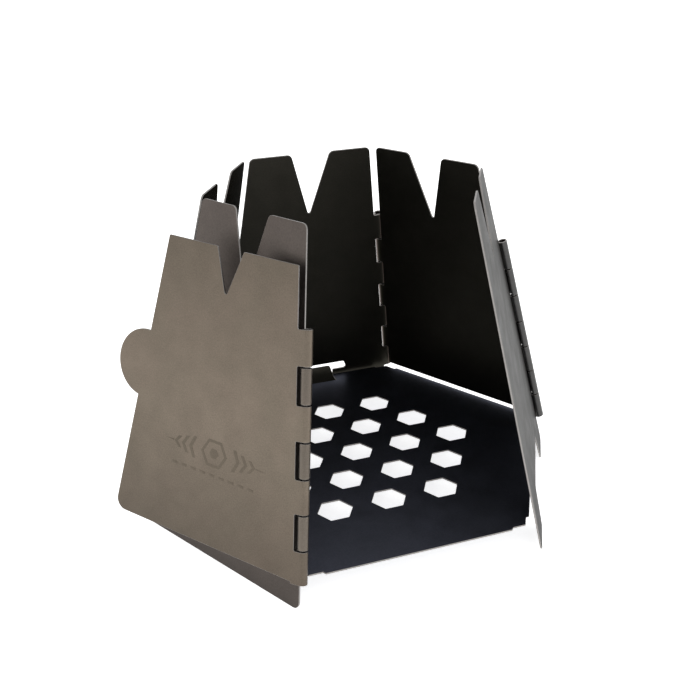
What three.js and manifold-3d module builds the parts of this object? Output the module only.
// A folding six-sided wood stove and windscreen of thin titanium sheet. Six panels lean inwards to a
// narrower mouth, five hinges with rolled knuckles join them, and the sixth corner is open for the door.
// Millimetres, +Z up. The opening faces -Y. The origin is under the middle of the object, on the ground.
import * as THREE from 'three';
import { mergeVertices } from 'three/addons/utils/BufferGeometryUtils.js';
import Module from 'manifold-3d';

const wasm = await Module();
wasm.setup();

// The hinge lines are the edges of a six-sided frustum.
const FLATS_AT_GROUND = 127;
const FLATS_AT_TOP = 78;
const HEIGHT = 101.6;

// Sheet metal. Heights are measured up the frustum from the ground.
const SHEET = 0.5;
const EDGE_INSET = 2.05;
const FINGER_ROUND = 1.8;
const FOOT_ROUND = 2;
const NOTCH_HALF = 6.6;
const NOTCH_BOTTOM = 78.8;
const NOTCH_ROUND = 0.5;
const SHORT_PANEL_BOTTOM = 10.3;

// Hinges: a rolled knuckle is a curl of the sheet around the pin.
const BARREL_OUTER = 1.5;
const BARREL_INNER = BARREL_OUTER - SHEET;
const CURL_DEGREES = 295;
const CURL_STEPS = 12;
const CURL_TAIL = 3;
const KNUCKLES = 7;
const KNUCKLE_GAP = 0.45;
const HINGE_LOW = 8.8;
const HINGE_HIGH = 76.3;
const PIN_RADIUS = 0.7;
const PIN_RECESS = 0.6;
const PIN_CHAMFER = 0.15;
const PIN_SIDES = 12;

// Air cut-outs at the foot of the three long panels, which also take the floor's tongues. The right
// panel has an arch between two feet, and the other two have a window.
const CUTOUT_HALF_TOP = 15.8;
const CUTOUT_SLOPE = 0.42;
const CUTOUT_ROUND = 1;
const ARCH_TOP = 11;
const WINDOW_TOP = 14.2;
const LEFT_WINDOW_SILL = 6.6;
const REAR_WINDOW_SILL = 10.9;
const SILL_RELIEF_BOTTOM = 8.1;
const SILL_RELIEF_HALF = 11.4;

// Door: lower than the other panels, with a half-round finger tab on its free edge.
const DOOR_TOP = 91.7;
const DOOR_BOTTOM = 9;
const DOOR_NOTCH_HALF = 4.4;
const DOOR_FREE_INSET = 2.65;
const DOOR_CORNER_ROUND = 0.4;
const DOOR_FOOT_ROUND = 3.3;
const TAB_RADIUS = 10;
const TAB_HEIGHT = 54.8;

// Floor plate.
const FLOOR_APOTHEM = 59.2;
const FLOOR_TOP = 8.6;
const CORNER_STEP = 0.9;
const CORNER_STEP_LENGTH = 4.2;
const CORNER_STEP_RUN = 0.6;
const HOLE_RINGS = 2;
const HOLE_PITCH = 17.6;
const HOLE_TO_PITCH = 0.325;
const HOLES_MIDDLE = { x: 0.6, y: -0.4 };

// The floor's two flat side tongues, and the lug bent up from its rear edge that hooks in the rear
// window. The floor folds up about the lug.
const TONGUE_HALF = 10.5;
const TONGUE_ROUND = 1;
const TONGUE_TIP = 60.4;
const LUG_ROOT = 53.6;
const LUG_TIP = 60.6;
const LUG_SLOPE = 0.53;
const LUG_RELIEF = 0.5;

// How the stove stands: turns about the hinge lines away from a closed hexagon, in degrees.
const REAR_RIGHT_TURN = -0.4;
const RIGHT_TURN = 1.7;
const FRONT_LEFT_TURN = -1.2;
const DOOR_TURN = -227.6;

const CURVE_STEPS = 5;

const SIDE_AT_GROUND = FLATS_AT_GROUND / Math.sqrt(3);
const SIDE_AT_TOP = FLATS_AT_TOP / Math.sqrt(3);
const TAPER = (SIDE_AT_GROUND - SIDE_AT_TOP) / HEIGHT;
const PANEL_LEAN = Math.atan(TAPER * Math.cos(Math.PI / 6));
const EDGE_TILT = Math.atan(TAPER * Math.cos(PANEL_LEAN) / 2);
const HINGE_STRETCH = Math.sqrt(1 + TAPER ** 2);

// Directions of the hexagon's corners, and of the panels' outward sides, in degrees about +Z.
const CORNER = { door: 240, right: 0, rearRight: 60, rearLeft: 120, left: 180 };
const FACING = { door: -90, right: -30, rearRight: 30, rear: 90, rearLeft: 150, frontLeft: 210 };

const titanium = { color: 0x8a7f76, roughness: 0.45, metalness: 0.9 };
const barrelTitanium = { color: 0x6a625c, roughness: 0.4, metalness: 0.9 };
const floorTitanium = { color: 0x22222a, roughness: 0.5, metalness: 0.8 };

// Distance up a panel's own face for a height above the ground.
function upFace(height) {
  return height / Math.cos(PANEL_LEAN);
}

// Half the distance between a panel's two hinge lines, at a distance up its face.
function halfSide(y) {
  return (SIDE_AT_GROUND - TAPER * y * Math.cos(PANEL_LEAN)) / 2;
}

function edgeAt(y, inset) {
  return halfSide(y) - inset / Math.cos(EDGE_TILT);
}

// Adds corners [x, y, radius] to a path, each one as an arc or, with no radius, as a sharp point.
function addCorners(path, corners) {
  corners.forEach(([x, y, radius], i) => {
    const corner = new THREE.Vector2(x, y);
    const [lastX, lastY] = corners.at(i - 1);
    const [nextX, nextY] = corners[(i + 1) % corners.length];
    if (radius === 0) {
      if (i === 0) path.moveTo(x, y);
      path.lineTo(x, y);
      return;
    }
    const back = new THREE.Vector2(lastX, lastY).sub(corner).normalize();
    const ahead = new THREE.Vector2(nextX, nextY).sub(corner).normalize();
    const half = Math.acos(back.dot(ahead)) / 2;
    const middle = back.clone().add(ahead).setLength(radius / Math.sin(half)).add(corner);
    const start = back.clone().multiplyScalar(radius / Math.tan(half)).add(corner).sub(middle);
    const end = ahead.clone().multiplyScalar(radius / Math.tan(half)).add(corner).sub(middle);
    path.absarc(middle.x, middle.y, radius, start.angle(), end.angle(), back.cross(ahead) > 0);
  });
  return path;
}

function toSolid(geometry) {
  geometry.deleteAttribute('normal');
  geometry.deleteAttribute('uv');
  const merged = mergeVertices(geometry);
  return new wasm.Manifold(new wasm.Mesh({
    numProp: 3,
    vertProperties: new Float32Array(merged.getAttribute('position').array),
    triVerts: new Uint32Array(merged.getIndex().array),
  }));
}

function toMesh(name, solid, look) {
  const { vertProperties, triVerts } = solid.getMesh();
  const geometry = new THREE.BufferGeometry();
  geometry.setAttribute('position', new THREE.BufferAttribute(vertProperties, 3));
  geometry.setIndex(new THREE.BufferAttribute(triVerts, 1));
  geometry.computeVertexNormals();
  const mesh = new THREE.Mesh(geometry, new THREE.MeshStandardMaterial(look));
  mesh.name = name;
  return mesh;
}

function sheetSolid(shape, z) {
  const geometry = new THREE.ExtrudeGeometry(shape, {
    depth: SHEET,
    bevelEnabled: false,
    curveSegments: CURVE_STEPS,
  });
  return toSolid(geometry.translate(0, 0, z));
}

// The sheet's section where it curls round a pin: a straight tail, then most of a ring. side is 1 on a
// panel's right edge and -1 on its left edge, seen from outside.
function curlSection(side) {
  const ring = (radius, step) => {
    const angle = THREE.MathUtils.degToRad(CURL_DEGREES * step / CURL_STEPS - 90);
    return new THREE.Vector2(side * radius * Math.cos(angle), radius * Math.sin(angle));
  };
  const steps = Array.from({ length: CURL_STEPS + 1 }, (_, step) => step);
  return new THREE.Shape([
    new THREE.Vector2(-side * CURL_TAIL, -BARREL_OUTER),
    ...steps.map((step) => ring(BARREL_OUTER, step)),
    ...steps.reverse().map((step) => ring(BARREL_INNER, step)),
    new THREE.Vector2(-side * CURL_TAIL, -BARREL_INNER),
  ]);
}

function knuckleSolid(side, low, high) {
  const geometry = new THREE.ExtrudeGeometry(curlSection(side), {
    depth: (high - low) * HINGE_STRETCH,
    bevelEnabled: false,
  });
  geometry.rotateX(Math.PI / 2).rotateZ(side * EDGE_TILT);
  const y = upFace(high);
  return toSolid(geometry.translate(side * halfSide(y), y, 0));
}

// Every other knuckle of a hinge, counted from the bottom: a panel's left edge has the four that start
// at the lowest one, and its right edge has the three between them.
function addKnuckles(sheet, side) {
  const pitch = (HINGE_HIGH - HINGE_LOW + KNUCKLE_GAP) / KNUCKLES;
  let panel = sheet;
  for (let i = side < 0 ? 0 : 1; i < KNUCKLES; i += 2) {
    const low = HINGE_LOW + i * pitch;
    panel = panel.add(knuckleSolid(side, low, low + pitch - KNUCKLE_GAP));
  }
  return panel;
}

// The two fingers along a panel's top, from its right edge to its left edge.
function fingers(top, notchHalf, leftInset, rightInset, round) {
  const y = upFace(top);
  return [
    [edgeAt(y, rightInset), y, round],
    [notchHalf, y, round],
    [0, upFace(NOTCH_BOTTOM), NOTCH_ROUND],
    [-notchHalf, y, round],
    [-edgeAt(y, leftInset), y, round],
  ];
}

function shortPanel() {
  const y = upFace(SHORT_PANEL_BOTTOM);
  const edge = edgeAt(y, EDGE_INSET);
  const shape = addCorners(new THREE.Shape(), [
    [-edge, y, 0],
    [edge, y, 0],
    ...fingers(HEIGHT, NOTCH_HALF, EDGE_INSET, EDGE_INSET, FINGER_ROUND),
  ]);
  return sheetSolid(shape, -BARREL_OUTER);
}

// Half the width of a cut-out with sloping sides, at a height.
function cutoutHalf(top, height) {
  return CUTOUT_HALF_TOP + CUTOUT_SLOPE * (top - height);
}

// Both halves of an outline that is the same on its right and left, from the right half [x, height,
// radius] listed upwards.
function bothHalves(right) {
  const left = right.map(([x, height, round]) => [-x, height, round]).reverse();
  return [...right, ...left].map(([x, height, round]) => [x, upFace(height), round]);
}

function archCorners() {
  return bothHalves([
    [cutoutHalf(ARCH_TOP, 0), 0, 0],
    [CUTOUT_HALF_TOP, ARCH_TOP, CUTOUT_ROUND],
  ]).reverse();
}

function leftWindow() {
  return bothHalves([
    [CUTOUT_HALF_TOP - CUTOUT_SLOPE * (WINDOW_TOP - LEFT_WINDOW_SILL), LEFT_WINDOW_SILL, CUTOUT_ROUND],
    [CUTOUT_HALF_TOP, WINDOW_TOP, CUTOUT_ROUND],
  ]);
}

// The rear window's sill is lower under the floor's lug, which swings down there as the floor folds.
function rearWindow() {
  return bothHalves([
    [SILL_RELIEF_HALF, SILL_RELIEF_BOTTOM, CUTOUT_ROUND],
    [SILL_RELIEF_HALF, REAR_WINDOW_SILL, 0],
    [cutoutHalf(WINDOW_TOP, REAR_WINDOW_SILL), REAR_WINDOW_SILL, CUTOUT_ROUND],
    [CUTOUT_HALF_TOP, WINDOW_TOP, CUTOUT_ROUND],
  ]);
}

// A long panel stands on the ground, with a window cut in it or an arch between two feet.
function longPanel(windowCorners) {
  const edge = edgeAt(0, EDGE_INSET);
  const shape = addCorners(new THREE.Shape(), [
    [-edge, 0, FOOT_ROUND],
    ...(windowCorners ? [] : archCorners()),
    [edge, 0, FOOT_ROUND],
    ...fingers(HEIGHT, NOTCH_HALF, EDGE_INSET, EDGE_INSET, FINGER_ROUND),
  ]);
  if (windowCorners) shape.holes.push(addCorners(new THREE.Path(), windowCorners));
  return sheetSolid(shape, -BARREL_OUTER);
}

function tabSolid() {
  const y = upFace(TAB_HEIGHT);
  const shape = new THREE.Shape();
  shape.absarc(0, 0, TAB_RADIUS, -Math.PI / 2, Math.PI / 2, false);
  const geometry = new THREE.ExtrudeGeometry(shape, {
    depth: SHEET,
    bevelEnabled: false,
    curveSegments: 6 * CURVE_STEPS,
  });
  geometry.rotateZ(EDGE_TILT).translate(edgeAt(y, DOOR_FREE_INSET) - SHEET, y, -BARREL_OUTER);
  return toSolid(geometry);
}

function door() {
  const y = upFace(DOOR_BOTTOM);
  const shape = addCorners(new THREE.Shape(), [
    [-edgeAt(y, EDGE_INSET), y, 0],
    [edgeAt(y, DOOR_FREE_INSET), y, DOOR_FOOT_ROUND],
    ...fingers(DOOR_TOP, DOOR_NOTCH_HALF, EDGE_INSET, DOOR_FREE_INSET, DOOR_CORNER_ROUND),
  ]);
  return addKnuckles(sheetSolid(shape, -BARREL_OUTER).add(tabSolid()), -1);
}

// One side of the floor plate, from its left corner, seen along the side's outward direction. middle
// is half the width and the reach of the tongue or notch in the middle of the side, if it has one.
function floorSide(facing, middle) {
  const inner = FLOOR_APOTHEM - CORNER_STEP;
  const cornerHalf = inner * Math.tan(Math.PI / 6);
  const stepHalf = cornerHalf - CORNER_STEP_LENGTH;
  const [middleHalf, reach] = middle;
  const half = [
    [middleHalf, reach, TONGUE_ROUND],
    [middleHalf, FLOOR_APOTHEM, 0],
    [stepHalf - CORNER_STEP_RUN, FLOOR_APOTHEM, 0],
    [stepHalf, inner, 0],
  ].slice(middleHalf ? 0 : 2);
  const mirrored = half.map(([along, out, round]) => [-along, out, round]).reverse();
  const axis = new THREE.Vector3(0, 0, 1);
  const angle = THREE.MathUtils.degToRad(facing);
  return [...mirrored, ...half, [cornerHalf, inner, 0]].map(([along, out, round]) => {
    const point = new THREE.Vector3(out, along, 0).applyAxisAngle(axis, angle);
    return [point.x, point.y, round];
  });
}

function hexagonHole(x, y) {
  const radius = HOLE_PITCH * HOLE_TO_PITCH;
  const corners = Array.from({ length: 6 }, (_, i) => {
    const angle = i * Math.PI / 3;
    return [x + radius * Math.cos(angle), y + radius * Math.sin(angle), 0];
  });
  return addCorners(new THREE.Path(), corners);
}

// The bent lug: a strip that rises from the plate at its root to its tip, drawn in section.
function lugSolid() {
  const rise = LUG_SLOPE * (LUG_TIP - LUG_ROOT);
  const bottom = FLOOR_TOP - SHEET;
  const shape = new THREE.Shape([
    new THREE.Vector2(LUG_ROOT - SHEET, bottom),
    new THREE.Vector2(LUG_ROOT + SHEET * LUG_SLOPE / 2, bottom),
    new THREE.Vector2(LUG_TIP, bottom + rise),
    new THREE.Vector2(LUG_TIP - SHEET * LUG_SLOPE, FLOOR_TOP + rise),
    new THREE.Vector2(LUG_ROOT, FLOOR_TOP),
    new THREE.Vector2(LUG_ROOT - SHEET, FLOOR_TOP),
  ]);
  const geometry = new THREE.ExtrudeGeometry(shape, { depth: 2 * TONGUE_HALF, bevelEnabled: false });
  geometry.rotateX(Math.PI / 2).rotateZ(Math.PI / 2);
  return toSolid(geometry.translate(-TONGUE_HALF, 0, 0));
}

function floor() {
  const middles = {
    [FACING.rear]: [TONGUE_HALF + LUG_RELIEF, LUG_ROOT],
    [FACING.right]: [TONGUE_HALF, TONGUE_TIP],
    [FACING.frontLeft]: [TONGUE_HALF, TONGUE_TIP],
  };
  const sides = Object.values(FACING).flatMap((facing) => floorSide(facing, middles[facing] ?? [0, 0]));
  const shape = addCorners(new THREE.Shape(), sides);
  for (let row = -HOLE_RINGS; row <= HOLE_RINGS; row += 1) {
    const length = 2 * HOLE_RINGS + 1 - Math.abs(row);
    for (let i = 0; i < length; i += 1) {
      const x = HOLES_MIDDLE.x + HOLE_PITCH * (i - (length - 1) / 2);
      shape.holes.push(hexagonHole(x, HOLES_MIDDLE.y + HOLE_PITCH * row * Math.sin(Math.PI / 3)));
    }
  }
  return sheetSolid(shape, FLOOR_TOP - SHEET).add(lugSolid());
}

function hingeLine(corner) {
  const outward = new THREE.Vector3(1, 0, 0);
  outward.applyAxisAngle(new THREE.Vector3(0, 0, 1), THREE.MathUtils.degToRad(corner));
  const foot = outward.clone().multiplyScalar(SIDE_AT_GROUND);
  const direction = outward.multiplyScalar(-TAPER).setZ(1).normalize();
  return { foot, direction };
}

// Places a panel in the closed hexagon: x along its side, y up its face, z outwards.
function placePanel(mesh, facing) {
  const angle = THREE.MathUtils.degToRad(facing);
  const apothem = SIDE_AT_GROUND * Math.cos(Math.PI / 6);
  mesh.rotation.set(Math.PI / 2 - PANEL_LEAN, 0, angle + Math.PI / 2, 'ZXY');
  mesh.position.set(apothem * Math.cos(angle), apothem * Math.sin(angle), 0);
  return mesh;
}

function hingePin(name, corner) {
  const length = (HINGE_HIGH - HINGE_LOW) * HINGE_STRETCH - 2 * PIN_RECESS;
  const profile = [
    [0, 0],
    [PIN_RADIUS - PIN_CHAMFER, 0],
    [PIN_RADIUS, PIN_CHAMFER],
    [PIN_RADIUS, length - PIN_CHAMFER],
    [PIN_RADIUS - PIN_CHAMFER, length],
    [0, length],
  ].map(([x, y]) => new THREE.Vector2(x, y));
  const { foot, direction } = hingeLine(corner);
  const start = HINGE_LOW * HINGE_STRETCH + PIN_RECESS;
  const pin = toMesh(name, toSolid(new THREE.LatheGeometry(profile, PIN_SIDES)), barrelTitanium);
  pin.quaternion.setFromUnitVectors(new THREE.Vector3(0, 1, 0), direction);
  pin.position.copy(foot).addScaledVector(direction, start);
  return pin;
}

// A group turned about a hinge line, for everything that swings on that hinge.
function swung(corner, degrees, ...contents) {
  const { foot, direction } = hingeLine(corner);
  const group = new THREE.Group();
  group.quaternion.setFromAxisAngle(direction, THREE.MathUtils.degToRad(degrees));
  group.position.copy(foot).sub(foot.clone().applyQuaternion(group.quaternion));
  group.add(...contents);
  return group;
}

function panelMesh(name, facing, solid) {
  return placePanel(toMesh(name, solid, titanium), facing);
}

function bothHinges(sheet) {
  return addKnuckles(addKnuckles(sheet, -1), 1);
}

function rightSide() {
  const right = swung(
    CORNER.right,
    RIGHT_TURN,
    panelMesh('right_panel', FACING.right, addKnuckles(longPanel(), 1)),
  );
  return swung(
    CORNER.rearRight,
    REAR_RIGHT_TURN,
    panelMesh('rear_right_panel', FACING.rearRight, bothHinges(shortPanel())),
    hingePin('right_hinge_pin', CORNER.right),
    right,
  );
}

function leftSide() {
  const doorGroup = swung(
    CORNER.door,
    DOOR_TURN,
    panelMesh('door', FACING.door, door()),
    hingePin('door_hinge_pin', CORNER.door),
  );
  const frontLeft = swung(
    CORNER.left,
    FRONT_LEFT_TURN,
    panelMesh('front_left_panel', FACING.frontLeft, bothHinges(longPanel(leftWindow()))),
    hingePin('left_hinge_pin', CORNER.left),
    doorGroup,
  );
  const group = new THREE.Group();
  group.add(
    panelMesh('rear_left_panel', FACING.rearLeft, bothHinges(shortPanel())),
    hingePin('rear_left_hinge_pin', CORNER.rearLeft),
    frontLeft,
  );
  return group;
}

const stove = new THREE.Group();
stove.add(
  panelMesh('rear_panel', FACING.rear, bothHinges(longPanel(rearWindow()))),
  hingePin('rear_right_hinge_pin', CORNER.rearRight),
  toMesh('floor_plate', floor(), floorTitanium),
  leftSide(),
  rightSide(),
);

// The origin goes under the middle of the whole object, at the ground.
stove.updateMatrixWorld(true);
const box = new THREE.Box3().setFromObject(stove, true);
const middle = box.getCenter(new THREE.Vector3());
stove.position.set(-middle.x, -middle.y, -box.min.z);

export default stove;
